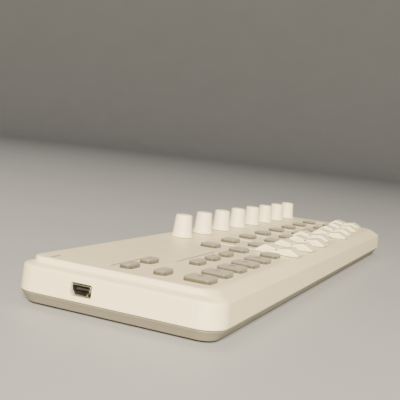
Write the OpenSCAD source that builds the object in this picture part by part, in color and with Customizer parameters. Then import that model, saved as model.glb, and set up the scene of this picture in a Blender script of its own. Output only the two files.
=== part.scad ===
// USB MIDI control surface: eight channels of one knob, one fader and three buttons,
// and a left section of eleven more buttons.
// X runs from left to right, Y from front to rear and Z up.
// The origin is on the table, under the middle of the case.

/* [Case] */
// Length of the case from left to right
case_l = 325; // [324:0.5:332]
// Width of the case from front to rear
case_w = 83; // [82.5:0.5:86]
// Corner radius of the case, seen from above
corner_r = 9; // [8.6:0.1:10]
// Height of the flat underside above the table
belly_z = 1; // [0.8:0.1:1.2]
// How far the slanted lower edge draws in on its way down to the underside
tuck_in = 3; // [2:0.1:3.4]
// Height of the line where the top and bottom cases meet
parting_z = 5.4; // [5.2:0.1:5.6]
// Height at which the wall turns into the ledge
shoulder_z = 15.2; // [15:0.1:15.4]
// Height of the ledge at the foot of the raised deck
ledge_z = 16; // [15.6:0.1:16.4]
// Height of the deck that carries the controls
deck_z = 18.1; // [17.9:0.1:18.4]
// Width of the ledge at the left, rear and right
ledge_w = 4.2; // [3.8:0.1:4.6]
// Depth of the sloping front, from the case's front to the line where it would meet the deck
front_slope_y = 6; // [5.8:0.1:6.4]
// Height of the top of the front wall, where the sloping front starts
front_edge_z = 14.4; // [14.2:0.1:14.8]
// Thickness of the plastic walls
wall = 2; // [1.8:0.1:2.2]

/* [Channels] */
// Distance from one channel to the next
channel_pitch = 26.95; // [26.8:0.05:27.1]
// Place along X of the first channel's knob and fader
first_channel_x = -47.3; // [-48:0.1:-46.8]
// Distance from a channel's knob line to its button column
button_column_dx = 14.2; // [13.8:0.1:14.4]

/* [Knobs] */
// Place of the knobs from front to rear
knob_y = 25.8; // [25:0.1:26.4]
// Height of the top of a knob above the table
knob_top_z = 29.5; // [28.5:0.1:30]
// Diameter of a knob's skirt
knob_skirt_d = 11.6; // [11:0.1:12]
// Diameter of a knob where its grip starts, above the skirt
knob_grip_d = 10; // [9.6:0.1:10.2]
// Diameter of a knob at its top
knob_top_d = 8.4; // [8.2:0.1:9]

/* [Faders] */
// Travel of a fader
fader_travel = 30; // [28:1:30]
// Place of a fader cap's middle at the front end of its travel
fader_low_y = -25.9; // [-26:0.1:-25]
// Width of a fader cap along X
cap_w = 11.4; // [11:0.1:11.6]
// Length of a fader cap along Y
cap_l = 21; // [20:0.5:21.5]
// Height of a fader cap's rear hump above the table
rear_hump_z = 22.3; // [22:0.1:23]
// Height of a fader cap's front hump above the table
front_hump_z = 21.9; // [21.6:0.1:22.4]

/* [Buttons] */
// Width of a button along X
button_w = 9.4; // [9:0.1:10]
// Length along Y of the shallow buttons: track, cycle and marker
shallow_l = 5; // [4.8:0.1:5.6]
// Length along Y of the transport buttons
transport_l = 10.6; // [10.2:0.1:11.4]
// Length along Y of the channel buttons
channel_l = 8; // [7.6:0.1:8.4]
// Height of a button above the deck
button_proud = 1.8; // [1.5:0.1:2]
// Distance from one left-section button to the next
button_pitch = 16; // [15.6:0.1:16.2]
// Place along X of the left-section's first button column
first_button_x = -145; // [-145.5:0.1:-144.5]
// Place along Y of the left section's rear row of buttons
rear_row_y = 2.6; // [2.2:0.1:3]
// Place along Y of the left section's middle row of buttons
middle_row_y = -11.2; // [-11.6:0.1:-10.8]
// Place along Y of the left section's front row of buttons
front_row_y = -26; // [-26.2:0.1:-25.6]
// Place along Y of the channels' rear row of buttons
channel_rear_y = 4.1; // [3.6:0.1:4.6]
// Place along Y of the channels' middle row of buttons
channel_middle_y = -10.3; // [-10.7:0.1:-9.9]
// Place along Y of the channels' front row of buttons
channel_front_y = -25.6; // [-26:0.1:-25.2]

/* [USB socket] */
// Place of the socket's middle from front to rear
usb_y = 12; // [11:0.1:13]
// Width of the socket's metal shell
usb_w = 7.7; // [7.6:0.1:7.9]
// Height of the socket's metal shell
usb_h = 3.9; // [3.8:0.1:4]
// Length of the socket's metal shell
usb_l = 9.2; // [8.5:0.1:9.5]

/* [Hidden] */
$fn = 64;
channels = 8;

// Overlap of joined shapes, overshoot of cuts, loose clearance and close clearance
tiny = 0.01;
over = 1;
gap = 0.3;
slip = 0.05;

// Circuit board
board_t = 1.6;
board_z = 6.2;
board_top_z = board_z + board_t;
board_inset = 4;
board_r = 5;
part_lift = 0.2;

// [X, Y, length, width, height] of the two chips and the crystal on the board
chips = [[-116, 22, 12, 12, 1.4], [-96, 24, 6, 5, 1.2]];
crystal = [-130, 24, 9, 3.6, 3];

// Case
draft = 0.3;
edge_r = 1.2;
deck_inset = ledge_w;
deck_corner_r = corner_r - deck_inset;
deck_lean = 0.3;
deck_edge_r = 0.8;
deck_front_inset = 1;
front_bend_r = 5;
inner_inset = wall + draft;
inner_low_top_z = shoulder_z - wall;
deck_foot_z = inner_low_top_z + over;
inner_high_inset = deck_inset + deck_lean + wall;
deck_under_z = deck_z - wall;
inner_high_r = 2;
front_cover = 1.7;
seam = 0.25;
tray_step_h = 3.2;
tray_inset = tuck_in + wall - 0.4;
tray_shadow = 0.1;
lip_t = 1.2;
lip_up = 1.5;

// Screws, bosses and feet
screw_xs = [-154, first_channel_x + 2 * channel_pitch - button_column_dx, 154];
screw_ys = [-35, 35];
screw_r = 1.25;
screw_head_r = 2.5;
screw_head_t = 1.8;
screw_len = 9.5;
screw_seat_z = 3.2;
boss_r = 3;
boss_hole_depth = 5.4;
post_r = 3.6;
cross_w = 0.8;
cross_l = 2.8;
foot_x = 140;
foot_y = 26;
foot_r = 5;
foot_sink = 0.4;
foot_slip = 0.1;

// Rotary potentiometers
pot_w = 9.8;
pot_l = 11.5;
pot_h = 6.6;
bush_r = 3.6;
bush_top_z = deck_z - 0.5;
shaft_r = 3;
shaft_foot_z = board_top_z + 1;
pot_bore_z = board_top_z + 0.8;
shaft_top_z = knob_top_z - 3;
shaft_flat = 1.4;
knob_foot_z = deck_z + 0.25;
knob_skirt_h = 2;
knob_skirt_edge = 0.5;
knob_flare_w = 0.15;
knob_flare_h = 0.4;
knob_rim_r = 0.8;
knob_bore_top_z = knob_foot_z + 1.2;
pointer_w = 0.6;
pointer_l = 2.2;
pointer_depth = 0.3;

// Slide potentiometers and fader caps
slide_w = 9;
slide_h = 6.4;
slide_margin = 5;
lever_w = 1.2;
lever_l = 4.5;
lever_foot_z = board_top_z + 2.4;
lever_top_z = 20.3;
slot_w = 2.2;
slot_len = fader_travel + lever_l + 1;
cap_foot_z = deck_z + 0.3;
cap_end_z = cap_foot_z + 1.1;
cap_valley_z = front_hump_z - 0.9;
hump_y = 5.7;
hump_r = 1.2;
crest = 0.6 * hump_r;
crest_drop = hump_r - 1.3 * crest;
crest_dip = 0.07;
groove_r = 0.35;

// How far each fader cap rests from the front end of its travel
fader_rest = [0.2, 0.2, 0.4, 4.4, 0, 2.4, 3.9, 7.3];

// Buttons and key mats
button_r = 1.7;
button_edge = 0.8;
flange = 0.7;
flange_t = 1;
flange_top_z = deck_under_z - 0.2;
key_foot_z = board_top_z + 1.6;
pill_r = 2;
pill_foot_z = board_top_z + 1.05;
mat_t = 0.8;
mat_margin = 1.2;
mat_trim = 1;
mat_hole = 0.6;

// USB socket
usb_t = 0.3;
usb_front_x = -case_l / 2 + 0.5;
usb_z = board_top_z + usb_h / 2;
usb_clear = 0.5;
usb_window_r = 0.6;
usb_back_t = 1;
usb_side_z = -0.3;
usb_step_z = -1.1;
usb_step_in = 1;
tongue_w = 5.2;
tongue_h = 0.9;
tongue_l = 5;
tongue_up = 0.3;

// [name, X, Y, length along Y] of each button of the left section
left_buttons = [
    ["track_previous", first_button_x, rear_row_y, shallow_l],
    ["track_next", first_button_x + button_pitch, rear_row_y, shallow_l],
    ["cycle", first_button_x, middle_row_y, shallow_l],
    ["marker_set", first_button_x + 2 * button_pitch, middle_row_y, shallow_l],
    ["marker_previous", first_button_x + 3 * button_pitch, middle_row_y, shallow_l],
    ["marker_next", first_button_x + 4 * button_pitch, middle_row_y, shallow_l],
    ["rewind", first_button_x, front_row_y, transport_l],
    ["forward", first_button_x + button_pitch, front_row_y, transport_l],
    ["stop", first_button_x + 2 * button_pitch, front_row_y, transport_l],
    ["play", first_button_x + 3 * button_pitch, front_row_y, transport_l],
    ["record", first_button_x + 4 * button_pitch, front_row_y, transport_l]
];
channel_rows = [["solo", channel_rear_y], ["mute", channel_middle_y], ["rec", channel_front_y]];

// [name, X, Y, length along Y] of each button of the channels
channel_buttons = [
    for (n = [1 : channels])
        for (row = [0 : 2])
            [str(channel_rows[row][0], "_", n), button_column_x(n), channel_rows[row][1], channel_l]
];
buttons = concat(left_buttons, channel_buttons);

function channel_x(n) = first_channel_x + (n - 1) * channel_pitch;
function button_column_x(n) = channel_x(n) - button_column_dx;
function fader_y(n) = fader_low_y + fader_rest[n - 1];

// ---- Shared shapes ----

// A rectangle with round corners, centred on the origin
module round_rect(w, l, r) {
    square([w - 2 * r, l], center = true);
    square([w, l - 2 * r], center = true);
    for (sx = [-1, 1])
        for (sy = [-1, 1])
            translate([sx * (w / 2 - r), sy * (l / 2 - r)])
                circle(r);
}

// A block with round upright corners, from z0 to z1
module round_block(w, l, r, z0, z1) {
    translate([0, 0, z0])
        linear_extrude(z1 - z0)
            round_rect(w, l, r);
}

// A slab with round upright corners and a shaped edge.
// The child is half its section, from x = 0 at a corner's centre out to x = r.
module edge_slab(l, w, r, z0, z1) {
    cx = l / 2 - r;
    cy = w / 2 - r;
    for (turn = [0, 180])
        rotate([0, 0, turn]) {
            translate([-cx, cy, 0])
                rotate([90, 0, 90])
                    linear_extrude(2 * cx)
                        children();
            translate([cx, cy, 0])
                rotate([90, 0, 0])
                    linear_extrude(2 * cy)
                        children();
            translate([cx, cy, 0])
                rotate_extrude(angle = 90)
                    children();
            translate([cx, -cy, 0])
                rotate([0, 0, -90])
                    rotate_extrude(angle = 90)
                        children();
        }
    translate([-cx, -cy, z0])
        cube([2 * cx, 2 * cy, z1 - z0]);
}

// Puts a copy of its children at each case screw
module at_screws() {
    for (x = screw_xs)
        for (y = screw_ys)
            translate([x, y, 0])
                children();
}

// Puts a copy of its children at each foot
module at_feet() {
    for (sx = [-1, 1])
        for (sy = [-1, 1])
            translate([sx * foot_x, sy * foot_y, 0])
                children();
}

// ---- Cases ----

// Half section of the wall and ledge
module wall_section() {
    polygon([
        [0, parting_z],
        [corner_r, parting_z],
        [corner_r - draft, shoulder_z - edge_r],
        [corner_r - draft - edge_r, shoulder_z],
        [corner_r - ledge_w, ledge_z],
        [0, ledge_z]
    ]);
    translate([corner_r - draft - edge_r, shoulder_z - edge_r])
        circle(edge_r);
}

// Half section of the raised deck
module deck_section() {
    polygon([
        [0, deck_foot_z],
        [deck_corner_r, deck_foot_z],
        [deck_corner_r - deck_lean, deck_z - deck_edge_r],
        [deck_corner_r - deck_lean - deck_edge_r, deck_z],
        [0, deck_z]
    ]);
    translate([deck_corner_r - deck_lean - deck_edge_r, deck_z - deck_edge_r])
        circle(deck_edge_r);
}

// The outside of the top case, before its front slope is cut
module top_outside() {
    edge_slab(case_l, case_w, corner_r, parting_z, ledge_z)
        wall_section();
    deck_l = case_l - 2 * deck_inset;
    deck_w = case_w - deck_inset - deck_front_inset;
    translate([0, (deck_front_inset - deck_inset) / 2, 0])
        edge_slab(deck_l, deck_w, deck_corner_r, deck_foot_z, deck_z)
            deck_section();
}

// Cuts the sloping front, from the top of the front wall through a gentle bend to the deck
module front_cut() {
    front_y = -case_w / 2;
    rise = deck_z - front_edge_z;
    run = front_slope_y - draft;
    tilt = atan2(rise, run);
    reach = front_bend_r * tan(tilt / 2);
    bend_y = front_y + front_slope_y + reach;
    translate([-case_l, 0, 0])
        rotate([90, 0, 90])
            linear_extrude(2 * case_l)
                difference() {
                    polygon([
                        [bend_y, deck_z],
                        [bend_y - reach * (1 + cos(tilt)), deck_z - reach * sin(tilt)],
                        [front_y + draft - run, front_edge_z - rise],
                        [front_y + draft - run, 2 * deck_z],
                        [bend_y, 2 * deck_z]
                    ]);
                    translate([bend_y, deck_z - front_bend_r + tiny])
                        circle(front_bend_r);
                }
}

// The hollow of the top case
module top_inside() {
    low_l = case_l - 2 * inner_inset;
    low_w = case_w - 2 * inner_inset;
    high_l = case_l - 2 * inner_high_inset;
    front_y = -case_w / 2 + front_slope_y + front_cover;
    rear_y = case_w / 2 - inner_high_inset;
    high_z = inner_low_top_z - over;
    round_block(low_l, low_w, corner_r - inner_inset, parting_z - over, inner_low_top_z);
    translate([0, (front_y + rear_y) / 2, 0])
        round_block(high_l, rear_y - front_y, inner_high_r, high_z, deck_under_z);
}

// Every opening in the deck: knob holes, fader slots and button windows
module deck_openings() {
    z0 = deck_under_z - over;
    z1 = deck_z + over;
    for (n = [1 : channels]) {
        translate([channel_x(n), knob_y, z0])
            cylinder(h = z1 - z0, r = bush_r + gap);
        translate([channel_x(n), fader_low_y + fader_travel / 2, 0])
            round_block(slot_w, slot_len, slot_w / 2 - tiny, z0, z1);
    }
    for (b = buttons)
        translate([b[1], b[2], 0])
            round_block(button_w + 2 * gap, b[3] + 2 * gap, button_r + gap, z0, z1);
}

// The window in the left wall around the USB socket
module usb_window() {
    window_w = usb_w + 2 * usb_clear;
    window_h = usb_h + 2 * usb_clear;
    translate([-case_l / 2 - over, usb_y, usb_z])
        rotate([90, 0, 90])
            linear_extrude(inner_inset + 2 * over)
                round_rect(window_w, window_h, usb_window_r);
}

module top_case() {
    color([0.93, 0.90, 0.83])
        difference() {
            union() {
                difference() {
                    top_outside();
                    front_cut();
                    top_inside();
                    deck_openings();
                }
                at_screws()
                    translate([0, 0, board_top_z])
                        cylinder(h = inner_low_top_z + over - board_top_z, r = boss_r);
            }
            at_screws()
                translate([0, 0, board_top_z - over])
                    cylinder(h = boss_hole_depth + over, r = screw_r + slip);
            usb_window();
        }
}

// Half section of the bottom case's slanted edge
module tray_section() {
    polygon([
        [0, belly_z],
        [corner_r - tuck_in, belly_z],
        [corner_r - tray_shadow, parting_z - seam],
        [0, parting_z - seam]
    ]);
}

// The hollow of the bottom case
module tray_inside() {
    step_z = belly_z + tray_step_h;
    low_l = case_l - 2 * tray_inset;
    low_w = case_w - 2 * tray_inset;
    high_inset = inner_inset + gap + lip_t;
    high_l = case_l - 2 * high_inset;
    high_w = case_w - 2 * high_inset;
    round_block(low_l, low_w, corner_r - tray_inset, belly_z + wall, step_z);
    round_block(high_l, high_w, corner_r - high_inset, step_z - tiny, board_top_z);
}

module bottom_case() {
    lip_inset = inner_inset + gap / 2;
    lip_l = case_l - 2 * lip_inset;
    lip_w = case_w - 2 * lip_inset;
    lip_r = corner_r - lip_inset;
    color([0.82, 0.80, 0.74])
        difference() {
            union() {
                difference() {
                    union() {
                        edge_slab(case_l, case_w, corner_r, belly_z, parting_z - seam)
                            tray_section();
                        round_block(lip_l, lip_w, lip_r, parting_z - over, parting_z + lip_up);
                    }
                    tray_inside();
                }
                at_screws()
                    translate([0, 0, belly_z + tiny])
                        cylinder(h = board_z - belly_z - tiny, r = post_r);
            }
            at_screws() {
                cylinder(h = screw_seat_z, r = screw_head_r + gap);
                cylinder(h = board_z + over, r = screw_r + gap);
            }
            at_feet()
                cylinder(h = belly_z + foot_sink, r = foot_r + foot_slip);
        }
}

// ---- Inside ----

// One block on the board, raised by the height of its solder
module board_part(p) {
    translate([p[0], p[1], board_top_z + part_lift])
        cube([p[2], p[3], p[4]]);
}

module circuit_board() {
    board_l = case_l - 2 * board_inset;
    board_w = case_w - 2 * board_inset;
    color([0.10, 0.32, 0.18])
        difference() {
            round_block(board_l, board_w, board_r, board_z, board_top_z);
            at_screws()
                cylinder(h = 2 * board_top_z, r = screw_r + gap);
        }
    color([0.08, 0.08, 0.08])
        for (chip = chips)
            board_part(chip);
    color([0.75, 0.75, 0.76])
        board_part(crystal);
}

// The outline of the socket's shell, wide at the top, shrunk by t all round
module usb_outline(t) {
    half_w = usb_w / 2 - t;
    half_h = usb_h / 2 - t;
    foot_w = half_w - usb_step_in;
    polygon([
        [-half_w, half_h],
        [-half_w, usb_side_z],
        [-foot_w, usb_step_z],
        [-foot_w, -half_h],
        [foot_w, -half_h],
        [foot_w, usb_step_z],
        [half_w, usb_side_z],
        [half_w, half_h]
    ]);
}

module usb_socket() {
    tongue_x = usb_l - usb_back_t - tongue_l;
    translate([usb_front_x, usb_y, usb_z])
        rotate([90, 0, 90]) {
            color([0.76, 0.76, 0.78])
                difference() {
                    linear_extrude(usb_l)
                        usb_outline(0);
                    translate([0, 0, -usb_back_t])
                        linear_extrude(usb_l)
                            usb_outline(usb_t);
                }
            color([0.06, 0.06, 0.06])
                translate([-tongue_w / 2, tongue_up - tongue_h / 2, tongue_x])
                    cube([tongue_w, tongue_h, tongue_l + tiny]);
        }
}

module knob_pots() {
    bush_foot_z = board_top_z + pot_h - over;
    color([0.35, 0.36, 0.38])
        for (n = [1 : channels])
            translate([channel_x(n), knob_y, 0])
                difference() {
                    union() {
                        translate([-pot_w / 2, -pot_l / 2, board_top_z])
                            cube([pot_w, pot_l, pot_h]);
                        translate([0, 0, bush_foot_z])
                            cylinder(h = bush_top_z - bush_foot_z, r = bush_r);
                    }
                    translate([0, 0, pot_bore_z])
                        cylinder(h = knob_top_z, r = shaft_r + slip);
                }
}

module slide_pots() {
    body_l = slot_len + 2 * slide_margin;
    color([0.70, 0.71, 0.73])
        for (n = [1 : channels])
            translate([channel_x(n), fader_low_y + fader_travel / 2, 0])
                difference() {
                    translate([-slide_w / 2, -body_l / 2, board_top_z])
                        cube([slide_w, body_l, slide_h]);
                    translate([-slot_w / 2, -slot_len / 2, lever_foot_z - over])
                        cube([slot_w, slot_len, slide_h]);
                }
}

// One rubber sheet on the board, with a hole around each of its keys
module key_mat(keys, x0, x1) {
    y0 = min([for (b = keys) b[2] - b[3] / 2]) - mat_margin;
    y1 = max([for (b = keys) b[2] + b[3] / 2]) + mat_margin;
    difference() {
        translate([x0, y0, board_top_z])
            cube([x1 - x0, y1 - y0, mat_t]);
        for (b = keys)
            translate([b[1], b[2], 0])
                round_block(
                    button_w + 2 * mat_hole, b[3] + 2 * mat_hole, button_r + mat_hole,
                    board_top_z - over, board_top_z + mat_t + over
                );
    }
}

module key_mats() {
    reach = button_w / 2 + mat_margin;
    last_button_x = first_button_x + 4 * button_pitch;
    color([0.55, 0.54, 0.50]) {
        key_mat(left_buttons, first_button_x - reach + mat_trim, last_button_x + reach);
        for (n = [1 : channels])
            key_mat(
                [for (row = [0 : 2]) channel_buttons[3 * (n - 1) + row]],
                button_column_x(n) - reach, button_column_x(n) + reach
            );
    }
}

module rubber_feet() {
    color([0.12, 0.12, 0.12])
        at_feet()
            cylinder(h = belly_z + foot_sink, r = foot_r);
}

module case_screws() {
    head_z = screw_seat_z - screw_head_t;
    color([0.30, 0.30, 0.32])
        at_screws()
            difference() {
                union() {
                    translate([0, 0, head_z])
                        cylinder(h = screw_head_t, r = screw_head_r);
                    translate([0, 0, head_z])
                        cylinder(h = screw_head_t + screw_len, r = screw_r);
                }
                for (turn = [0, 90])
                    rotate([0, 0, turn])
                        translate([-cross_l / 2, -cross_w / 2, head_z - over])
                            cube([cross_l, cross_w, over + screw_head_t / 2]);
            }
}

// ---- Moving pieces ----

// The shaft of a rotary potentiometer, with its flat, grown by extra all round
module shaft(extra) {
    difference() {
        cylinder(h = shaft_top_z - shaft_foot_z + extra, r = shaft_r + extra);
        translate([-shaft_r * 2, shaft_r - shaft_flat + extra, knob_foot_z - shaft_foot_z])
            cube([shaft_r * 4, shaft_r * 2, knob_top_z]);
    }
}

// Half section of a knob
module knob_section() {
    skirt_z = knob_foot_z + knob_skirt_h;
    rim_x = knob_top_d / 2 - knob_rim_r;
    polygon([
        [0, knob_foot_z],
        [knob_skirt_d / 2, knob_foot_z],
        [knob_skirt_d / 2, knob_foot_z + knob_skirt_edge],
        [knob_grip_d / 2 + knob_flare_w, skirt_z - knob_flare_h],
        [knob_grip_d / 2, skirt_z],
        [knob_top_d / 2, knob_top_z - knob_rim_r],
        [rim_x, knob_top_z],
        [0, knob_top_z]
    ]);
    translate([rim_x, knob_top_z - knob_rim_r])
        circle(knob_rim_r);
}

module knob(n) {
    pointer_y = knob_top_d / 2 - pointer_l;
    translate([channel_x(n), knob_y, 0]) {
        color([0.97, 0.95, 0.90])
            difference() {
                rotate_extrude()
                    knob_section();
                translate([0, 0, shaft_foot_z])
                    shaft(slip);
                translate([0, 0, knob_foot_z - over])
                    cylinder(h = knob_bore_top_z - knob_foot_z + over, r = bush_r + gap);
                translate([-pointer_w / 2, pointer_y, knob_top_z - pointer_depth])
                    cube([pointer_w, pointer_l + over, over]);
            }
        color([0.70, 0.70, 0.72])
            translate([0, 0, shaft_foot_z])
                shaft(0);
    }
}

// The side outline of a fader cap: two humps, a valley with a groove, and sloping ends
module cap_outline() {
    difference() {
        union() {
            polygon([
                [-cap_l / 2, cap_foot_z],
                [-cap_l / 2, cap_end_z],
                [-hump_y - crest, front_hump_z - crest_drop],
                [-hump_y + crest / 2, front_hump_z - crest_dip],
                [0, cap_valley_z],
                [hump_y - crest / 2, rear_hump_z - crest_dip],
                [hump_y + crest, rear_hump_z - crest_drop],
                [cap_l / 2, cap_end_z],
                [cap_l / 2, cap_foot_z]
            ]);
            translate([-hump_y, front_hump_z - hump_r])
                circle(hump_r);
            translate([hump_y, rear_hump_z - hump_r])
                circle(hump_r);
        }
        translate([0, cap_valley_z])
            circle(groove_r);
    }
}

module fader(n) {
    socket_w = lever_w + 2 * slip;
    socket_l = lever_l + 2 * slip;
    socket_z = cap_foot_z - over;
    translate([channel_x(n), fader_y(n), 0]) {
        color([0.98, 0.97, 0.93])
            difference() {
                translate([-cap_w / 2, 0, 0])
                    rotate([90, 0, 90])
                        linear_extrude(cap_w)
                            cap_outline();
                translate([-socket_w / 2, -socket_l / 2, socket_z])
                    cube([socket_w, socket_l, lever_top_z + slip - socket_z]);
            }
        color([0.75, 0.75, 0.77])
            translate([-lever_w / 2, -lever_l / 2, lever_foot_z])
                cube([lever_w, lever_l, lever_top_z - lever_foot_z]);
    }
}

// Half section of a button's cap, with a rounded upper edge
module key_section(top_z) {
    polygon([
        [0, key_foot_z],
        [button_r, key_foot_z],
        [button_r, top_z - button_edge],
        [button_r - button_edge, top_z],
        [0, top_z]
    ]);
    translate([button_r - button_edge, top_z - button_edge])
        circle(button_edge);
}

// One rubber button: a rounded cap, a retaining flange, a foot and its contact pill
module button(b) {
    top_z = deck_z + button_proud;
    translate([b[1], b[2], 0]) {
        color([0.72, 0.69, 0.62]) {
            edge_slab(button_w, b[3], button_r, key_foot_z, top_z)
                key_section(top_z);
            round_block(
                button_w + 2 * flange, b[3] + 2 * flange, button_r + flange,
                flange_top_z - flange_t, flange_top_z
            );
            translate([0, 0, pill_foot_z])
                cylinder(h = key_foot_z - pill_foot_z + tiny, r = pill_r);
        }
    }
}

top_case();
bottom_case();
circuit_board();
usb_socket();
knob_pots();
slide_pots();
key_mats();
rubber_feet();
case_screws();
for (n = [1 : channels]) knob(n);
for (n = [1 : channels]) fader(n);
for (b = buttons) button(b);
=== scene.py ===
import math

import bpy
from mathutils import Matrix, Vector
from mathutils.geometry import delaunay_2d_cdt


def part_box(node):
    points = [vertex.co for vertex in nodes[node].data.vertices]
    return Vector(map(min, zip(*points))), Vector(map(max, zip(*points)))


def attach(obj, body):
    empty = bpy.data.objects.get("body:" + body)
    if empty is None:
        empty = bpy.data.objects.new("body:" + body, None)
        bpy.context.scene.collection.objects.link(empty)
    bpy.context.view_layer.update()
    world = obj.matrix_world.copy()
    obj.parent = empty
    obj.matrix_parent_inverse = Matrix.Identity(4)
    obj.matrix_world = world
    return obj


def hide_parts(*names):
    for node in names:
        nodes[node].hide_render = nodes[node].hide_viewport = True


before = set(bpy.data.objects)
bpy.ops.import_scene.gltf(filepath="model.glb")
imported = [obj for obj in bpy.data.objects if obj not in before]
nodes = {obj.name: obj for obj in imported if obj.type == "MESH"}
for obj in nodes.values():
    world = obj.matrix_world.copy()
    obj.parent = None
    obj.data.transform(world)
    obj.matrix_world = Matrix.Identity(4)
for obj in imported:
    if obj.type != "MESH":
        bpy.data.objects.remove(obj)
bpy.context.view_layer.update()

MM = 0.001
CHANNELS = range(1, 9)


# ---------------------------------------------------------------- geometry helpers


def node_box(node):
    """(lowest corner, highest corner) of a CAD node in millimetres."""
    low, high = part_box(node)
    return low / MM, high / MM


def node_middle(node):
    low, high = node_box(node)
    return (low + high) / 2


def ease(t):
    """0 to 1 with no sudden start or end."""
    t = min(1.0, max(0.0, t))
    return t * t * (3 - 2 * t)


def round_rect(w, l, r, steps=6):
    """A rectangle with round corners, counter-clockwise round the origin."""
    r = max(r, 0.12)
    points = []
    for k, (sx, sy) in enumerate(((1, 1), (-1, 1), (-1, -1), (1, -1))):
        for i in range(steps + 1):
            a = math.pi / 2 * (k + i / steps)
            points.append(
                (sx * (w / 2 - r) + r * math.cos(a), sy * (l / 2 - r) + r * math.sin(a))
            )
    return points


def grown(w, l, r, o):
    """A rectangle with round corners, grown by o all round."""
    return round_rect(w + 2 * o, l + 2 * o, r + o)


def rounding(r, steps=4):
    """(outward, down) along the rounded edge of an opening, from its top."""
    turns = [math.pi / 2 * i / steps for i in range(steps + 1)]
    return [(r * (1 - math.sin(a)), r * (1 - math.cos(a))) for a in turns]


def circle(r, steps):
    turns = [2 * math.pi * i / steps for i in range(steps)]
    return [(r * math.cos(a), r * math.sin(a)) for a in turns]


def filleted(corners, steps=6):
    """Rounds a polygon. Each corner is (u, v, radius)."""
    points = []
    n = len(corners)
    for i, (u, v, r) in enumerate(corners):
        here = Vector((u, v))
        back = (Vector(corners[i - 1][:2]) - here).normalized()
        ahead = (Vector(corners[(i + 1) % n][:2]) - here).normalized()
        half = back.angle(ahead) / 2
        if r <= 0 or half > math.radians(89):
            points.append((u, v))
            continue
        reach = r / math.tan(half)
        start, end = here + back * reach, here + ahead * reach
        centre = here + (back + ahead).normalized() * (r / math.sin(half))
        a, b = start - centre, end - centre
        sweep = math.pi - 2 * half
        for k in range(steps + 1):
            t = k / steps
            p = centre + (a * math.sin((1 - t) * sweep) + b * math.sin(t * sweep)) / math.sin(sweep)
            points.append((p.x, p.y))
    return points


def inset(points, distance):
    """Moves a counter-clockwise outline inward by distance."""
    if distance == 0:
        return list(points)
    moved = []
    n = len(points)
    for i in range(n):
        a, p, b = Vector(points[i - 1]), Vector(points[i]), Vector(points[(i + 1) % n])
        d1, d2 = (p - a).normalized(), (b - p).normalized()
        n1, n2 = Vector((-d1.y, d1.x)), Vector((-d2.y, d2.x))
        middle = (n1 + n2).normalized()
        p = p + middle * (distance / max(0.5, middle.dot(n1)))
        moved.append((p.x, p.y))
    return moved


class Build:
    """A mesh in the making, in millimetres."""

    def __init__(self):
        self.verts, self.faces, self.kinds = [], [], []

    def add(self, points):
        start = len(self.verts)
        self.verts.extend(Vector(p) for p in points)
        return list(range(start, len(self.verts)))

    def level(self, points, z, cx=0.0, cy=0.0):
        """A loop at height z."""
        return self.add((cx + x, cy + y, z) for x, y in points)

    def face(self, ids, kind=0):
        self.faces.append(tuple(ids))
        self.kinds.append(kind)

    def bridge(self, low, high, skip=(), kind=0):
        """Quads between two loops that run counter-clockwise seen from high. They face outward."""
        n = len(low)
        for i in range(n):
            if i not in skip:
                j = (i + 1) % n
                self.face((low[i], low[j], high[j], high[i]), kind)

    def stack(self, loops, kind=0):
        for low, high in zip(loops, loops[1:]):
            self.bridge(low, high, kind=kind)

    def plate(self, outer, holes, u, v, sign, kind=0):
        """Fills between a convex outer loop and its holes. sign is the facing along u x v."""
        loops = [outer] + holes
        ids = [i for loop in loops for i in loop]
        owner = [k for k, loop in enumerate(loops) for _ in loop]
        points = [Vector((self.verts[i][u], self.verts[i][v])) for i in ids]
        edges, start = [], 0
        for loop in loops:
            n = len(loop)
            edges += [(start + i, start + (i + 1) % n) for i in range(n)]
            start += n
        made = delaunay_2d_cdt(points, edges, [], 0, 1e-6)
        for tri in made[2]:
            src = [made[3][k][0] for k in tri]
            owners = {owner[s] for s in src}
            if len(owners) == 1 and owners != {0}:
                continue
            a, b, c = (points[s] for s in src)
            area = (b - a).cross(c - a)
            if area * sign < 0:
                src.reverse()
            self.face([ids[s] for s in src], kind)

    def lathe(self, profile, steps, cx, cy, kind=0):
        """Turns (radius, z) points round an upright axis. A radius of 0 closes with a fan."""
        loops = []
        for r, z in profile:
            if r == 0:
                loops.append(self.add([(cx, cy, z)]))
            else:
                loops.append(self.level(circle(r, steps), z, cx, cy))
        for low, high in zip(loops, loops[1:]):
            if len(low) == 1:
                for i in range(steps):
                    self.face((low[0], high[(i + 1) % steps], high[i]), kind)
            elif len(high) == 1:
                for i in range(steps):
                    self.face((low[i], low[(i + 1) % steps], high[0]), kind)
            else:
                self.bridge(low, high, kind=kind)
        return loops

    def make(self, name, body, materials, sharp=38.0, replaces=()):
        """Turns the mesh into an object in metres that rides on a body."""
        mesh = bpy.data.meshes.new(name)
        mesh.from_pydata([tuple(v * MM) for v in self.verts], [], self.faces)
        for m in materials:
            mesh.materials.append(m)
        mesh.polygons.foreach_set("material_index", self.kinds)
        mesh.polygons.foreach_set("use_smooth", [True] * len(self.faces))
        mesh.update()
        mesh.set_sharp_from_angle(angle=math.radians(sharp))
        obj = bpy.data.objects.new(name, mesh)
        bpy.context.scene.collection.objects.link(obj)
        normals = obj.modifiers.new("face_normals", "WEIGHTED_NORMAL")
        normals.keep_sharp = True
        normals.weight = 80
        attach(obj, body)
        if replaces:
            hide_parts(*replaces)
        return obj


# ---------------------------------------------------------------- places from the frame

top_low, top_high = node_box("top_case")
HALF_L, HALF_W = top_high.x, top_high.y
DECK_Z, PARTING_Z = top_high.z, top_low.z
DECK_UNDER_Z = DECK_Z - 2.0

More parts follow.
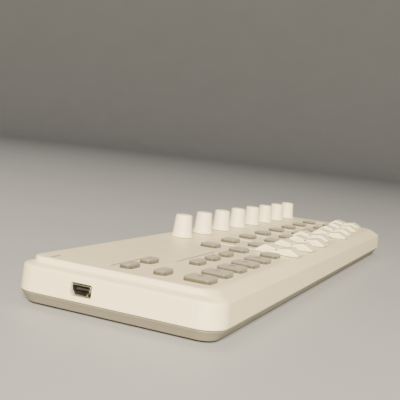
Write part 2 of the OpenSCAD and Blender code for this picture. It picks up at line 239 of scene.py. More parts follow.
# Each key's middle and its size above the deck, within the flange that holds it under the deck
KEY_FLANGE = 0.7
KEY_R = 1.7
KEY_GAP = 0.3
KEYS = {}
for name in sorted(nodes):
    if name.startswith("button_"):
        middle = node_middle(name)
        key_low, key_high = node_box(name)
        span = key_high - key_low
        KEYS[name] = (middle.x, middle.y, span.x - 2 * KEY_FLANGE, span.y - 2 * KEY_FLANGE)

# The fader slots lie over the slide potentiometers, which are longer by both their ends
pots_low, pots_high = node_box("slide_pots")
SLOT_Y = (pots_low.y + pots_high.y) / 2
SLOT_L = pots_high.y - pots_low.y - 10

usb_low, usb_high = node_box("usb_socket")
USB_Y = (usb_low.y + usb_high.y) / 2
USB_Z = (usb_low.z + usb_high.z) / 2


# ---------------------------------------------------------------- materials


class Paint:
    """A procedural material, with helpers for its nodes."""

    def __init__(self, name, colour, roughness, **inputs):
        self.mat = bpy.data.materials.new(name)
        self.mat.use_nodes = True
        self.tree = self.mat.node_tree
        self.tree.nodes.clear()
        self.out = self.node("ShaderNodeOutputMaterial")
        self.shader = self.node("ShaderNodeBsdfPrincipled")
        self.link(self.shader, "BSDF", self.out, "Surface")
        self.shader.inputs["Base Color"].default_value = (*colour, 1)
        self.shader.inputs["Roughness"].default_value = roughness
        for key, value in inputs.items():
            self.shader.inputs[key.replace("_", " ")].default_value = value
        self.mat.diffuse_color = (*colour, 1)
        self.colour, self.roughness = colour, roughness
        self.coords = self.node("ShaderNodeTexCoord")
        self.height = None

    def node(self, kind, **settings):
        made = self.tree.nodes.new(kind)
        for key, value in settings.items():
            setattr(made, key, value)
        return made

    def link(self, a, a_out, b, b_in):
        self.tree.links.new(a.outputs[a_out], b.inputs[b_in])

    def noise(self, size, detail=2.0, stretch=None):
        """Noise whose blobs are about size millimetres across."""
        made = self.node("ShaderNodeTexNoise")
        made.inputs["Scale"].default_value = 1 / (size * MM)
        made.inputs["Detail"].default_value = detail
        if stretch:
            mapping = self.node("ShaderNodeMapping")
            mapping.inputs["Scale"].default_value = stretch
            self.link(self.coords, "Object", mapping, "Vector")
            self.link(mapping, "Vector", made, "Vector")
        else:
            self.link(self.coords, "Object", made, "Vector")
        return made

    def ramp(self, source, low, high, start=0.3, end=0.7, out="Fac"):
        made = self.node("ShaderNodeMapRange")
        made.inputs["From Min"].default_value = start
        made.inputs["From Max"].default_value = end
        made.inputs["To Min"].default_value = low
        made.inputs["To Max"].default_value = high
        self.link(source, out, made, "Value")
        return made

    def tint(self, source, other, amount, out="Result"):
        """Mixes another colour into the base colour where source is high."""
        mix = self.node("ShaderNodeMix", data_type="RGBA")
        scale = self.node("ShaderNodeMath", operation="MULTIPLY")
        scale.inputs[1].default_value = amount
        self.link(source, out, scale, 0)
        self.tree.links.new(scale.outputs[0], mix.inputs["Factor"])
        base = self.shader.inputs["Base Color"]
        if base.links:
            self.tree.links.new(base.links[0].from_socket, mix.inputs["A"])
        else:
            mix.inputs["A"].default_value = (*self.colour, 1)
        mix.inputs["B"].default_value = (*other, 1)
        self.tree.links.new(mix.outputs["Result"], base)

    def rough(self, source, low, high):
        ramp = self.ramp(source, low, high)
        self.link(ramp, "Result", self.shader, "Roughness")

    def bump(self, source, strength, depth, out="Fac"):
        """Adds relief of depth millimetres."""
        made = self.node("ShaderNodeBump")
        made.inputs["Strength"].default_value = strength
        made.inputs["Distance"].default_value = depth * MM
        self.link(source, out, made, "Height")
        if self.height:
            self.link(self.height, "Normal", made, "Normal")
        self.height = made
        self.link(made, "Normal", self.shader, "Normal")


def moulded(name, colour, roughness, grain=0.5, depth=0.012, shade=0.90, **inputs):
    """Moulded plastic: fine spark grain, faint clouding of colour and uneven gloss."""
    p = Paint(name, colour, roughness, **inputs)
    cloud = p.ramp(p.noise(26, 3), 0, 1)
    p.tint(cloud, tuple(c * shade for c in colour), 0.35)
    speck = p.ramp(p.noise(grain * 1.4, 2), 0, 1, 0.35, 0.75)
    p.tint(speck, tuple(c * 0.94 for c in colour), 0.35)
    p.rough(p.noise(9, 4), roughness - 0.05, roughness + 0.07)
    p.bump(p.noise(grain, 3), 0.55, depth)
    p.bump(p.noise(14, 1), 0.25, 0.02)
    return p.mat


def rubbery(name, colour, roughness, dust=0.12, painted_shade=None):
    """Silicone rubber: soft sheen, fine pitting and a little dust. The last argument is (low, high) in Z:
    from high down to low the colour darkens, a painted shade at the foot.
    """
    p = Paint(name, colour, roughness)
    p.shader.inputs["Sheen Weight"].default_value = 0.25
    p.shader.inputs["Sheen Roughness"].default_value = 0.5
    cloud = p.ramp(p.noise(5, 3), 0, 1)
    p.tint(cloud, tuple(c * 0.88 for c in colour), 0.4)
    # Painted shade: the colour darkens towards the bottom, fully below the low Z.
    if painted_shade:
        split = p.node("ShaderNodeSeparateXYZ")
        p.link(p.coords, "Object", split, "Vector")
        depth = p.ramp(split, 1, 0, painted_shade[0] * MM, painted_shade[1] * MM, out="Z")
        p.tint(depth, tuple(c * 0.22 for c in colour), 0.9)
    lint = p.ramp(p.noise(0.6, 4), 0, 1, 0.58, 0.72)
    p.tint(lint, tuple(min(1.0, c * 1.35 + 0.03) for c in colour), dust)
    p.rough(p.noise(3, 3), roughness - 0.06, roughness + 0.08)
    p.bump(p.noise(0.35, 2), 0.5, 0.01)
    return p.mat


def plated(name, colour, roughness, stretch):
    """Plated or bare metal with fine drawn scratches."""
    p = Paint(name, colour, roughness, Metallic=1.0)
    scratch = p.noise(0.6, 4, stretch)
    p.rough(scratch, roughness - 0.08, roughness + 0.14)
    p.tint(p.ramp(p.noise(1.8, 4), 0, 1), tuple(c * 0.7 for c in colour), 0.45)
    p.bump(scratch, 0.4, 0.004)
    return p.mat


def soldered(name):
    """Dark green solder mask with copper tracks under it, and black parts that stand above it."""
    p = Paint(name, (0.006, 0.034, 0.016), 0.35)
    tracks = p.node("ShaderNodeTexBrick")
    tracks.inputs["Scale"].default_value = 1 / (3.2 * MM)
    tracks.inputs["Mortar Size"].default_value = 0.07
    tracks.inputs["Color1"].default_value = (0, 0, 0, 1)
    tracks.inputs["Color2"].default_value = (0.1, 0.1, 0.1, 1)
    tracks.inputs["Mortar"].default_value = (1, 1, 1, 1)
    p.link(p.coords, "Object", tracks, "Vector")
    p.tint(tracks, (0.012, 0.06, 0.026), 0.8, out="Color")
    split = p.node("ShaderNodeSeparateXYZ")
    p.link(p.coords, "Object", split, "Vector")
    board_top = 7.8
    above = p.ramp(split, 0, 1, (board_top + 0.1) * MM, (board_top + 0.15) * MM, out="Z")
    p.tint(above, (0.015, 0.015, 0.016), 1.0)
    p.rough(p.noise(2, 3), 0.28, 0.45)
    p.bump(tracks, 0.5, 0.03, out="Color")
    return p.mat


CASE_WHITE = (0.83, 0.738, 0.535)
BASE_GREY = (0.215, 0.2, 0.16)
CONTROL_WHITE = (0.90, 0.818, 0.62)
KEY_GREY = (0.24, 0.215, 0.163)

case_plastic = moulded("case_plastic", CASE_WHITE, 0.46)
base_plastic = moulded("base_plastic", BASE_GREY, 0.52, grain=0.7, depth=0.02)
control_plastic = moulded("control_plastic", CONTROL_WHITE, 0.40, grain=0.35, depth=0.006)
# The keys' sides darken towards the deck as painted shade.
key_rubber = rubbery("key_rubber", KEY_GREY, 0.58, painted_shade=(DECK_Z + 0.8, DECK_Z + 1.5))
mat_rubber = rubbery("mat_rubber", (0.30, 0.29, 0.26), 0.7)
foot_rubber = rubbery("foot_rubber", (0.028, 0.028, 0.030), 0.75, dust=0.3)
socket_metal = plated("socket_metal", (0.62, 0.61, 0.59), 0.28, (1, 8, 8))
pot_metal = plated("pot_metal", (0.46, 0.47, 0.49), 0.42, (8, 1, 8))
shaft_metal = plated("shaft_metal", (0.58, 0.58, 0.60), 0.30, (8, 8, 1))
screw_steel = plated("screw_steel", (0.10, 0.10, 0.11), 0.40, (1, 1, 10))
board_green = soldered("board_green")
tongue_black = moulded("tongue_black", (0.022, 0.017, 0.014), 0.45, grain=0.2, depth=0.004)
contact_gold = plated("contact_gold", (0.80, 0.55, 0.22), 0.22, (8, 1, 8))
print_grey = moulded("print_grey", (0.15, 0.138, 0.115), 0.55, grain=0.2, depth=0.003)
pointer_grey = moulded("pointer_grey", (0.16, 0.15, 0.13), 0.5, grain=0.2, depth=0.003)
icon_grey = moulded("icon_grey", (0.24, 0.215, 0.17), 0.55, grain=0.2, depth=0.003)


# ---------------------------------------------------------------- top case

CORNERS = ((1, 1), (-1, 1), (-1, -1), (1, -1))
CORNER_R = 9.0
CORNER_STEPS = 24
# The deck's rounder corners at the front
FRONT_R = 12.5
WALL_TOP_Z = 14.0
# The long slope at the front: where it starts, how far it runs and how gently it meets the deck
FRONT_EDGE_Z = 14.4
SLOPE_RUN = 5.7
BEND_R = 5.0
# The stretch of the outline that is the flat of the left wall, where the socket's window is
LEFT_SPAN = 2 * (CORNER_STEPS + 1) - 1
HOLE_FILLET = 0.3
KNOB_HOLE_R = 3.9
SLOT_W, SLOT_END_R = 2.2, 1.08


def perimeter(d, front_r=CORNER_R):
    """The case's outline from above, d millimetres in, with the facing direction of each point."""
    points = []
    for k, (sx, sy) in enumerate(CORNERS):
        r = CORNER_R if sy > 0 else front_r
        cx, cy = sx * (HALF_L - r), sy * (HALF_W - r)
        for i in range(CORNER_STEPS + 1):
            a = math.pi / 2 * (k + i / CORNER_STEPS)
            c, s = math.cos(a), math.sin(a)
            points.append((cx + (r - d) * c, cy + (r - d) * s, s))
    return points


def shoulder(centre_d, centre_z, r, end, steps=9):
    """(inset, height) along an arc from upright through the angle end."""
    return [
        (centre_d - r * math.cos(end * i / steps), centre_z + r * math.sin(end * i / steps))
        for i in range(steps + 1)
    ]


def build_top_case():
    b = Build()

    def ring(side, front=None, front_r=CORNER_R):
        """A loop round the case. side and front are (inset, height) at the two kinds of wall."""
        front = front or side
        points = []
        for (sx, sy, s), (fx, fy, _) in zip(perimeter(side[0], front_r), perimeter(front[0], front_r)):
            w = ease(-s)
            z = side[1] + (front[1] - side[1]) * w
            points.append((sx + (fx - sx) * w, sy + (fy - sy) * w, z))
        return b.add(points)

    wall_d, ceiling_d, ceiling_z = 2.3, 8.2, 13.2
    inside = [
        ring((ceiling_d, DECK_UNDER_Z)),
        ring((ceiling_d, ceiling_z)),
        ring((wall_d, ceiling_z)),
        ring((wall_d, PARTING_Z)),
    ]
    lip_end = (0.02, PARTING_Z + 0.3)
    lip = [ring((0.32, PARTING_Z)), ring((0.12, PARTING_Z + 0.08)), ring(lip_end)]

    # The walls lean in by lean_d, then round over: side_r at the sides and front_r at the front
    lean_d, side_r, front_r, slope_step = 0.3, 1.2, 0.8, 0.43
    side_arc = shoulder(lean_d + side_r, WALL_TOP_Z, side_r, math.radians(74))
    tilt = math.atan2(DECK_Z - FRONT_EDGE_Z, SLOPE_RUN)
    front_arc = shoulder(lean_d + front_r, FRONT_EDGE_Z - slope_step, front_r, math.pi / 2 - tilt)
    rise = [ring(s, f) for s, f in zip(side_arc, front_arc)]

    # At the sides a ledge and the riser of the deck, at the front one long slope with a gentle bend
    ledge = [(2.1, 15.42), (3.0, 15.68), (3.7, 15.89), (3.95, 15.97), (4.08, 16.06), (4.17, 16.22)]
    riser = [(4.25, 16.55), (4.33, 16.9), (4.41, 17.22)]
    deck_d, edge_r = 5.2, 0.8
    edge = shoulder(deck_d, DECK_Z - edge_r, edge_r, math.pi / 2, 7)[1:]
    slope = []
    for k in range(len(ledge + riser)):
        run = front_r + slope_step * k
        slope.append((lean_d + run, FRONT_EDGE_Z + run * math.tan(tilt)))
    bend_d = lean_d + SLOPE_RUN + BEND_R * math.tan(tilt / 2)
    bend = []
    for k in range(1, len(edge) + 1):
        a = tilt * (1 - k / len(edge))
        bend.append((bend_d - BEND_R * math.sin(a), DECK_Z - BEND_R * (1 - math.cos(a))))
    sides, fronts = ledge + riser + edge, slope + bend
    climb = []
    for k, (s, f) in enumerate(zip(sides, fronts)):
        climb.append(ring(s, f, CORNER_R + (FRONT_R - CORNER_R) * ease((k + 1) / len(sides))))
    margin_steps, side_margin, front_margin = 9, 2.9, 0.9
    for k in range(1, margin_steps + 1):
        t = k / margin_steps
        side, front = (deck_d + side_margin * t, DECK_Z), (bend_d + front_margin * t, DECK_Z)
        climb.append(ring(side, front, FRONT_R))
    loops = inside + lip + rise + climb
    inner_wall, outer_wall = len(inside) - 2, len(inside) + len(lip) - 1
    for k, (low, high) in enumerate(zip(loops, loops[1:])):
        skip = (LEFT_SPAN,) if k in (inner_wall, outer_wall) else ()
        b.bridge(low, high, skip)

    # Openings in the deck, each with a softened rim
    rims, feet = [], []

    def opening(cx, cy, shape):
        rim = [
            b.level(shape(out), DECK_Z - down, cx, cy) for out, down in rounding(HOLE_FILLET)
        ]
        rim.append(b.level(shape(0), DECK_UNDER_Z, cx, cy))
        b.stack(rim)
        rims.append(rim[0])
        feet.append(rim[-1])

    for n in CHANNELS:
        knob = node_middle(f"knob_{n}")
        opening(knob.x, knob.y, lambda o: circle(KNOB_HOLE_R + o, 40))
        opening(knob.x, SLOT_Y, lambda o: grown(SLOT_W, SLOT_L, SLOT_END_R, o))
    for cx, cy, w, l in KEYS.values():
        opening(cx, cy, lambda o: grown(w, l, KEY_R, KEY_GAP + o))
    b.plate(loops[-1], rims, 0, 1, 1)
    b.plate(loops[0], feet, 0, 1, -1)

    # The window for the USB socket, through the left wall
    def on_wall(points, x_of_z):
        return b.add((x_of_z(z), USB_Y + y, z) for y, z in ((y, USB_Z + v) for y, v in points))

    (low_d, low_z), (high_d, high_z) = lip_end, side_arc[0]
    lean = (high_d - low_d) / (high_z - low_z)

    def outer_x(z):
        return -HALF_L + low_d + (z - low_z) * lean

    window_w, window_h, window_r, window_fillet = 8.7, 4.9, 0.7, 0.35
    window = []
    for out, down in rounding(window_fillet):
        shape = grown(window_w, window_h, window_r, out)
        window.append(on_wall(shape, lambda z: outer_x(z) + down))
    window.append(on_wall(grown(window_w, window_h, window_r, 0), lambda z: -HALF_L + wall_d))
    for near, far in zip(window, window[1:]):
        b.bridge(far, near)
    a, c = LEFT_SPAN, LEFT_SPAN + 1
    low, high = loops[outer_wall], loops[outer_wall + 1]
    b.plate([low[a], low[c], high[c], high[a]], [window[0]], 1, 2, -1)
    low, high = loops[inner_wall + 1], loops[inner_wall]
    b.plate([low[a], low[c], high[c], high[a]], [window[-1]], 1, 2, 1)
    return b.make("top_case_shell", "case", [case_plastic], replaces=["top_case"])


build_top_case()


# ---------------------------------------------------------------- bottom case


def build_bottom_case():
    b = Build()
    base_low, _ = node_box("bottom_case")
    belly = base_low.z
    seam_z = PARTING_Z - 0.25

    def ring(d, z):
        return b.add((x, y, z) for x, y, _ in perimeter(d))

    section = [
        (4.9, 3.0), (3.9, 4.2), (3.8, 6.9), (2.45, 6.9), (2.45, seam_z), (0.42, seam_z),
        (0.24, seam_z - 0.07), (0.2, seam_z - 0.24), (0.48, seam_z - 0.7), (1.02, 3.85),
        (1.72, 2.85), (2.3, 2.03), (2.6, 1.6), (2.8, 1.33), (3.0, 1.14), (3.22, belly + 0.03),
        (3.45, belly),
    ]
    loops = [ring(*p) for p in section]
    for outer, inner in zip(loops, loops[1:]):
        b.bridge(inner, outer)
    b.plate(loops[0], [], 0, 1, 1)
    holes = []

    def recess(cx, cy, r, depth):
        rims = [
            b.level(circle(r + o, 40), belly + z, cx, cy)
            for o, z in ((0.14, 0), (0.07, 0.01), (0.02, 0.05), (0, 0.12), (0, depth))
        ]
        for near, far in zip(rims, rims[1:]):
            b.bridge(far, near)
        b.plate(rims[-1], [], 0, 1, -1)
        holes.append(rims[0])

    foot_recess, screw_recess = (5.1, 0.4), (2.8, 1.7)
    for x, y in FEET:
        recess(x, y, *foot_recess)
    for x, y in SCREWS:
        recess(x, y, *screw_recess)
    b.plate(loops[-1], holes, 0, 1, -1)
    return b.make("bottom_case_tray", "case", [base_plastic], replaces=["bottom_case"])


def spots(node, reach):
    """Middles of a node's separate solids, from which of its points lie within reach of each other."""
    found = []
    for v in nodes[node].data.vertices:
        x, y = v.co.x / MM, v.co.y / MM
        for spot in found:
            if math.dist((x, y), spot["at"]) < reach:
                spot["xs"].append(x)
                spot["ys"].append(y)
                break
        else:
            found.append({"at": (x, y), "xs": [x], "ys": [y]})
    return sorted(
        ((min(s["xs"]) + max(s["xs"])) / 2, (min(s["ys"]) + max(s["ys"])) / 2) for s in found
    )


# Feet and screws are each far more than this apart, and far smaller
SPOT_REACH = 20
FEET = spots("rubber_feet", SPOT_REACH)
SCREWS = spots("case_screws", SPOT_REACH)
build_bottom_case()


def build_feet():
    b = Build()
    for x, y in FEET:
        b.lathe(
            [(0, 0.06), (1.2, 0.06), (1.5, 0.0), (4.4, 0.0), (4.72, 0.06), (4.93, 0.2), (5.0, 0.42),
             (5.0, 1.38), (0, 1.38)][::-1],
            64, x, y,
        )
    b.faces = [f[::-1] for f in b.faces]
    return b.make("rubber_feet_pads", "case", [foot_rubber], replaces=["rubber_feet"])


build_feet()


def build_screws():
    b = Build()
    low, high = node_box("case_screws")
    for x, y in SCREWS:
        arm, half = 1.4, 0.4
        cross = [(arm, half), (half, half), (half, arm), (-half, arm), (-half, half), (-arm, half),
                 (-arm, -half), (-half, -half), (-half, -arm), (half, -arm), (half, -half), (arm, -half)]
        z = low.z
        body = [(2.05, z), (2.3, z + 0.1), (2.45, z + 0.3), (2.5, z + 0.6), (2.5, z + 1.8),
                (1.25, z + 1.8), (1.25, high.z - 1), (0, high.z)]
        loops = b.lathe(body, 48, x, y)
        rim = b.level(cross, z + 0.02, x, y)
        foot = b.level([(0.55 * u, 0.55 * v) for u, v in cross], z + 1.0, x, y)
        outer = loops[0]
        # The face of the head, between its edge and the cross
        quarter = len(outer) // 4
        for k in range(4):
            tip_a, notch, tip_b = rim[3 * k : 3 * k + 3]
            between = [outer[(k * quarter + i) % len(outer)] for i in range(2, quarter - 1)]
            b.face([tip_a, *between, tip_b, notch][::-1])
            across = [outer[(k * quarter + i) % len(outer)] for i in (-2, -1, 0, 1, 2)]
            b.face([rim[3 * k - 1], *across, tip_a][::-1])
        b.bridge(foot, rim)
        b.face(foot[::-1])
    replaces = ["case_screws"]
    return b.make("case_screw_heads", "case", [screw_steel], 50, replaces)


build_screws()


# ---------------------------------------------------------------- USB socket


def build_usb():
    front, back = usb_low.x, usb_high.x
    half_w, half_h = (usb_high.y - usb_low.y) / 2, (usb_high.z - usb_low.z) / 2
    foot_w = half_w - 1.0

    def outline(t):
        w, h, f = half_w - t, half_h - t, foot_w - t * 0.8
        r = 0.5 - t * 0.6
        return filleted(
            [(w, h, r), (-w, h, r), (-w, -0.3, r), (-f, -1.1, r), (-f, -h, r), (f, -h, r), (f, -1.1, r),
             (w, -0.3, r)],
            5,
        )

    b = Build()
    shell = [(0.0, back), (0.0, front + 0.16), (0.03, front + 0.06), (0.09, front), (0.2, front),
             (0.28, front + 0.05), (0.32, front + 0.2), (0.3, back - 1.0)]
    loops = [b.add((x, USB_Y + y, USB_Z + z) for y, z in outline(t)) for t, x in shell]
    for near, far in zip(loops, loops[1:]):
        b.bridge(far, near)
    b.face(loops[0])
    b.face(loops[-1][::-1])
    b.make("usb_shell", "case", [socket_metal], sharp=50, replaces=["usb_socket"])

    # The tongue in the mouth, the dark moulding behind it, and the contacts under it
    b = Build()
    mouth = front + 1.4

    def bar(x0, x1, y0, y1, z0, z1, soft, kind):
        w, h = y1 - y0, z1 - z0
        cy, cz = USB_Y + (y0 + y1) / 2, USB_Z + (z0 + z1) / 2
        loops = []
        for o, x in ((-soft, x0), (-soft * 0.3, x0 + soft * 0.3), (0, x0 + soft), (0, x1)):
            points = round_rect(w + 2 * o, h + 2 * o, soft, 3)
            loops.append(b.add((x, cy + y, cz + z) for y, z in points))
        b.stack(loops, kind)
        b.face(loops[0][::-1], kind)
        b.face(loops[-1], kind)

    bar(mouth, back - 1.05, -2.6, 2.6, -0.15, 0.75, 0.12, 0)
    bar(front + 5.5, back - 1.02, -3.3, 3.3, -0.2, 1.6, 0.15, 0)
    pitch, half_contact = 0.8, 0.17
    for i in range(5):
        y = (i - 2) * pitch
        bar(mouth + 0.35, mouth + 3.6, y - half_contact, y + half_contact, -0.21, -0.1, 0.03, 1)
    b.make("usb_tongue", "case", [tongue_black, contact_gold], sharp=50)


build_usb()


# ---------------------------------------------------------------- knobs


KNOB_LIFT = 0.25


def knob_profile(foot_z, top_z):
    """(radius, z) from the bore, round the skirt and up to the middle of the top."""
    rim = 1.0
    side_low, side_high = (4.92, foot_z + 2.0), (4.2, top_z - rim)

    def side(z):
        t = (z - side_low[1]) / (side_high[1] - side_low[1])
        return side_low[0] + (side_high[0] - side_low[0]) * t

    bore_r, bore_z = 3.9, foot_z + 1.2
    points = [(0, bore_z), (bore_r, bore_z), (bore_r, foot_z + 0.1), (bore_r + 0.1, foot_z), (5.62, foot_z)]
    points += [(5.73, foot_z + 0.05), (5.79, foot_z + 0.14), (5.8, foot_z + 0.26), (5.78, foot_z + 0.42)]
    flare_z, flare_h, flare_power = foot_z + 0.5, 2.2, 2.3
    flare_w = 5.76 - side(flare_z)
    flare_steps, side_steps, rim_steps = 10, 7, 8
    for i in range(flare_steps + 1):
        t = i / flare_steps
        z = flare_z + flare_h * t
        points.append((side(z) + flare_w * (1 - t) ** flare_power, z))
    for i in range(1, side_steps):
        z = flare_z + flare_h + (side_high[1] - flare_z - flare_h) * i / side_steps
        points.append((side(z), z))
    start = 5
    for i in range(rim_steps + 1):
        a = math.radians(start + (90 - start) * i / rim_steps)
        points.append((side_high[0] - rim + rim * math.cos(a), side_high[1] + rim * math.sin(a)))
    dish = top_z - 0.16
    points += [(3.05, top_z - 0.01), (2.9, top_z - 0.05), (2.72, dish + 0.03), (2.5, dish)]
    return points + [(1.2, dish), (0, dish)]


def build_knob(n):
    node = f"knob_{n}"
    low, high = node_box(node)
    cx, cy, _ = node_middle(node)
    foot_z = DECK_Z + KNOB_LIFT
    profile = knob_profile(foot_z, high.z)
    b = Build()
    b.lathe(profile, 96, cx, cy)
    b.make(f"{node}_cap", node, [control_plastic], replaces=[node])

    # The pointer: an inlaid line over the rim, from near the middle to part of the way down
    b = Build()
    down_side, from_middle = 3.4, 1.0
    path = [(r, z) for r, z in profile if z > high.z - down_side and r > from_middle]
    half, proud, buried = 0.34, 0.035, 0.12
    section = [
        (-half, -buried), (-half, proud * 0.5), (-half * 0.8, proud),
        (half * 0.8, proud), (half, proud * 0.5), (half, -buried),
    ]
    rails = []
    for i, (r, z) in enumerate(path):
        before, after = path[max(i - 1, 0)], path[min(i + 1, len(path) - 1)]
        along = Vector((after[0] - before[0], after[1] - before[1])).normalized()
        out = Vector((along.y, -along.x))
        line = []
        for w, lift in section:
            # On the knob's round side, the line's edges follow the curve
            sink = r - math.sqrt(max(r * r - w * w, 0)) if abs(along.y) > 0.5 else 0
            rr = r + out.x * lift - sink
            line.append((cx + w, cy + rr, min(z + out.y * lift, high.z)))
        rails.append(b.add(line))
    count = len(rails[0])
    for a, c in zip(rails, rails[1:]):
        for k in range(count):
            m = (k + 1) % count
            b.face((a[k], c[k], c[m], a[m]))
    b.face(rails[0])
    b.face(rails[-1][::-1])
    b.make(f"{node}_pointer", node, [pointer_grey], sharp=50)

    # The potentiometer's shaft under the knob
    b = Build()
    shaft_r, chamfer, shaft_top = 3.0, 0.2, foot_z + 1.3
    end = [(0, low.z), (shaft_r - chamfer, low.z), (shaft_r, low.z + chamfer)]
    b.lathe(end + [(shaft_r, shaft_top), (0, shaft_top)], 40, cx, cy)
    b.make(f"{node}_shaft", node, [shaft_metal])


for n in CHANNELS:
    build_knob(n)


# ---------------------------------------------------------------- fader caps


def cap_outline(foot, front_z, rear_z, half_l):
    """The side view of a cap, counter-clockwise seen from the right: (y, z)."""
    end_z = foot + 1.1
    valley = front_z - 0.92
    return filleted(
        [
            (-half_l, foot, 0.22),
            (half_l, foot, 0.22),
            (half_l, end_z, 0.45),
            (6.0, rear_z + 0.10, 1.35),
            (0.62, valley + 0.14, 0.4),
            (0.0, valley - 0.42, 0.16),
            (-0.62, valley + 0.10, 0.4),
            (-5.95, front_z + 0.06, 1.7),
            (-half_l, end_z, 0.45),
        ],
        6,
    )


def build_fader(n):
    node = f"fader_{n}"
    low, high = node_box(node)
    cx, cy, _ = node_middle(node)
    half_w, half_l = (high.x - low.x) / 2, (high.y - low.y) / 2
    foot, front_drop = DECK_Z + 0.3, 0.4
    outline = cap_outline(foot, high.z - front_drop, high.z, half_l)
    b = Build()
    soft, steps = 0.4, 5
    loops = []
    for side in (-1, 1):
        for i in range(steps + 1):
            a = math.pi / 2 * (i / steps if side > 0 else 1 - i / steps)
            x = side * (half_w - soft + soft * math.sin(a))
            points = inset(outline, soft * (1 - math.cos(a)))
            loops.append(b.add((cx + x, cy + y, z) for y, z in points))
    for left, right in zip(loops, loops[1:]):
        b.bridge(left, right)
    b.face(loops[0][::-1])
    b.face(loops[-1])
    b.make(f"{node}_cap", node, [control_plastic], replaces=[node])

    # The lever that carries the cap
    b = Build()
    lever_w, lever_l, lever_r, chamfer = 1.2, 4.5, 0.2, 0.1
    loops = []
    for o, z in ((-chamfer, low.z), (0, low.z + chamfer), (0, foot + 0.3)):
        shape = round_rect(lever_w + 2 * o, lever_l + 2 * o, lever_r + o, 3)
        loops.append(b.level(shape, z, cx, cy))
    b.stack(loops)
    b.face(loops[0][::-1])
    b.face(loops[-1])
    b.make(f"{node}_lever", node, [pot_metal], sharp=50)


for n in CHANNELS:
    build_fader(n)


# ---------------------------------------------------------------- buttons


def triangle(cx, size, facing):
    """A triangle that points along X, with softened corners."""
    w, h, r = size * 0.9, size, 0.18
    corners = [(-w / 2, -h / 2, r), (w / 2, 0, r), (-w / 2, h / 2, r)]
    if facing < 0:
        corners = [(-u, v, r) for u, v, r in reversed(corners)]
    return [(cx + u, v) for u, v in filleted(corners, 3)]


# Plain shapes that stand a hair above the key: skip, wind, stop, play and record
ICONS = {
    "button_track_previous": [triangle(0, 2.2, -1)],
    "button_track_next": [triangle(0, 2.2, 1)],
    "button_marker_previous": [triangle(0, 2.2, -1)],
    "button_marker_next": [triangle(0, 2.2, 1)],
    "button_rewind": [triangle(x, 2.6, -1) for x in (-1.25, 1.25)],
    "button_forward": [triangle(x, 2.6, 1) for x in (-1.25, 1.25)],
    "button_stop": [round_rect(2.7, 2.7, 0.14, 3)],
    "button_play": [triangle(0, 3.1, 1)],
    "button_record": [circle(1.5, 28)],
}


def build_button(name):
    cx, cy, w, l = KEYS[name]
    low, high = node_box(name)
    top = high.z - 0.02
    edge, crown_h, taper, steps = 0.65, 0.14, 0.03, 6
    plunger_in, flange_z = 1.6, DECK_UNDER_Z - 1.3
    b = Build()

    # (outward, z) up the key: the plunger, the flange under the deck, the side, the rounded edge
    # and the crowned top
    section = [
        (-plunger_in, low.z), (-plunger_in, low.z + 0.5), (0, low.z + 0.6), (0, flange_z),
        (KEY_FLANGE - 0.1, flange_z + 0.1), (KEY_FLANGE, flange_z + 0.2), (KEY_FLANGE, flange_z + 1.0),
        (KEY_FLANGE - 0.1, flange_z + 1.1), (0.05, flange_z + 1.12),
        (0, flange_z + 1.6), (-taper, top - edge - crown_h - 0.02),
    ]
    for i in range(1, steps + 1):
        a = math.pi / 2 * i / steps * 0.94
        inward, up = edge * (1 - math.cos(a)), edge * math.sin(a)
        section.append((-taper - inward, top - crown_h - edge + up))
    edge_o, edge_z = section[-1]
    last_o = 0.4 - min(w, l) / 2
    for i in range(1, steps + 1):
        t = i / steps
        section.append((edge_o + (last_o - edge_o) * t, edge_z + (top - edge_z) * (1 - (1 - t) ** 2)))
    loops = [
        b.level(round_rect(w + 2 * o, l + 2 * o, KEY_R + o, 7), z, cx, cy) for o, z in section
    ]
    b.stack(loops)
    b.face(loops[0][::-1])
    b.face(loops[-1])
    b.make(f"{name}_key", name, [key_rubber], sharp=45, replaces=[name])
    if name in ICONS:
        b = Build()
        for points in ICONS[name]:
            foot = b.level(points, top - 0.12, cx, cy)
            face = b.level(points, top + 0.015, cx, cy)
            b.bridge(foot, face)
            b.face(foot[::-1])
            b.face(face)
        b.make(f"{name}_icon", name, [icon_grey])


for name in KEYS:
    build_button(name)


# ---------------------------------------------------------------- printed lines on the deck


def build_print():
    """Plain printed rules over the track and marker buttons, and a short one at the socket's corner."""
    b = Build()
    track_gap, mark_gap, line = 2.9, 4.9, 0.7

    def rule(x0, x1, y, w):
        loop = round_rect(x1 - x0, w, w * 0.4, 3)
        foot = b.level(loop, DECK_Z - 0.05, (x0 + x1) / 2, y)
        top = b.level(loop, DECK_Z + 0.012, (x0 + x1) / 2, y)
        b.bridge(foot, top)
        b.face(foot[::-1])
        b.face(top)

    for first, last, gap in (
        ("button_track_previous", "button_track_next", track_gap),
        ("button_marker_set", "button_marker_next", mark_gap),
    ):
        x0, y, w, l = KEYS[first]
        x1 = KEYS[last][0]
        rule(x0 - w / 2, x1 + w / 2, y + l / 2 + gap, line)
    corner_x, corner_y, corner_l, corner_w = -HALF_L + 10, 30, 5.4, 0.9
    rule(corner_x - corner_l / 2, corner_x + corner_l / 2, corner_y, corner_w)
    b.make("printed_rules", "case", [print_grey])


build_print()


# ---------------------------------------------------------------- CAD nodes that stay

for node, material in (
    ("circuit_board", board_green),
    ("knob_pots", pot_metal),
    ("slide_pots", pot_metal),
    ("key_mats", mat_rubber),
):
    mesh = nodes[node].data
    mesh.materials.clear()
    mesh.materials.append(material)


# ---------------------------------------------------------------- studio


def pale_floor():
    p = Paint("floor", (0.40, 0.42, 0.465), 0.55)
    p.tint(p.ramp(p.noise(120, 4), 0, 1), (0.37, 0.39, 0.43), 0.5)
    p.rough(p.noise(60, 3), 0.5, 0.6)
    p.bump(p.noise(1.2, 3), 0.2, 0.02)
    return p.mat


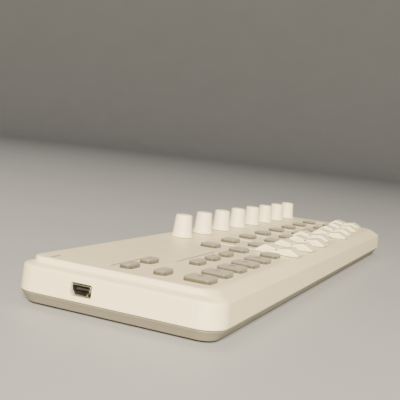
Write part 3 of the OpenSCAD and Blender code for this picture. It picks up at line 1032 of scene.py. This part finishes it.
def build_floor():
    """A wide floor that curves up into a backdrop all round, in metres."""
    mesh = bpy.data.meshes.new("floor")
    steps, bend_steps = 96, 12
    reach, bend, height = 2.6, 1.4, 2.4
    profile = [(0.4, 0.0), (1.2, 0.0), (reach, 0.0)]
    for i in range(1, bend_steps + 1):
        a = math.pi / 2 * i / bend_steps
        profile.append((reach + bend * math.sin(a), bend * (1 - math.cos(a))))
    profile.append((reach + bend, height))
    verts = [(0.0, 0.0, 0.0)]
    for r, z in profile:
        verts += [(x, y, z) for x, y in circle(r, steps)]
    faces = [(0, 1 + i, 1 + (i + 1) % steps) for i in range(steps)]
    for k in range(len(profile) - 1):
        a, c = 1 + k * steps, 1 + (k + 1) * steps
        faces += [
            (a + i, c + i, c + (i + 1) % steps, a + (i + 1) % steps) for i in range(steps)
        ]
    mesh.from_pydata(verts, [], faces)
    mesh.polygons.foreach_set("use_smooth", [True] * len(faces))
    mesh.materials.append(pale_floor())
    obj = bpy.data.objects.new("floor", mesh)
    bpy.context.scene.collection.objects.link(obj)


build_floor()


def softbox(name, at, size, power, colour):
    """A rectangular light that looks at the middle of the object."""
    data = bpy.data.lights.new(name, "AREA")
    data.shape = "RECTANGLE"
    data.size, data.size_y = size
    data.energy = power
    data.color = colour
    lamp = bpy.data.objects.new(name, data)
    bpy.context.scene.collection.objects.link(lamp)
    lamp.location = at
    lamp.rotation_mode = "QUATERNION"
    lamp.rotation_quaternion = (-Vector(at)).to_track_quat("-Z", "Y")


softbox("key", (-1.6, -0.66, 0.82), (0.6, 0.5), 142, (1.0, 0.865, 0.61))
softbox("fill", (0.9, -1.6, 0.8), (1.4, 0.8), 3, (1.0, 0.93, 0.80))
softbox("top", (0.5, 0.9, 1.8), (1.2, 0.8), 9, (1.0, 0.94, 0.84))

world = bpy.data.worlds.new("studio")
world.use_nodes = True
world.node_tree.nodes["Background"].inputs["Color"].default_value = (0.95, 0.96, 1.0, 1)
world.node_tree.nodes["Background"].inputs["Strength"].default_value = 0.10
bpy.context.scene.world = world


# ---------------------------------------------------------------- camera


def place_camera():
    """A low camera off the front left corner, a little tipped to one side."""
    yaw, pitch, roll = math.radians(22.47), math.radians(4.56), math.radians(6.75)
    forward = Vector(
        (math.cos(yaw) * math.cos(pitch), math.sin(yaw) * math.cos(pitch), -math.sin(pitch))
    )
    right = forward.cross(Vector((0, 0, 1))).normalized()
    up = right.cross(forward)
    right, up = (
        right * math.cos(roll) + up * math.sin(roll),
        up * math.cos(roll) - right * math.sin(roll),
    )
    turn = Matrix((right, up, -forward)).transposed()
    data = bpy.data.cameras.new("camera")
    data.sensor_width = 36
    data.lens = 64.9
    data.clip_start, data.clip_end = 0.01, 30
    camera = bpy.data.objects.new("camera", data)
    bpy.context.scene.collection.objects.link(camera)
    camera.rotation_mode = "QUATERNION"
    camera.rotation_quaternion = turn.to_quaternion()
    camera.location = Vector((-379.49, -119.11, 66.63)) * MM
    bpy.context.scene.camera = camera


place_camera()
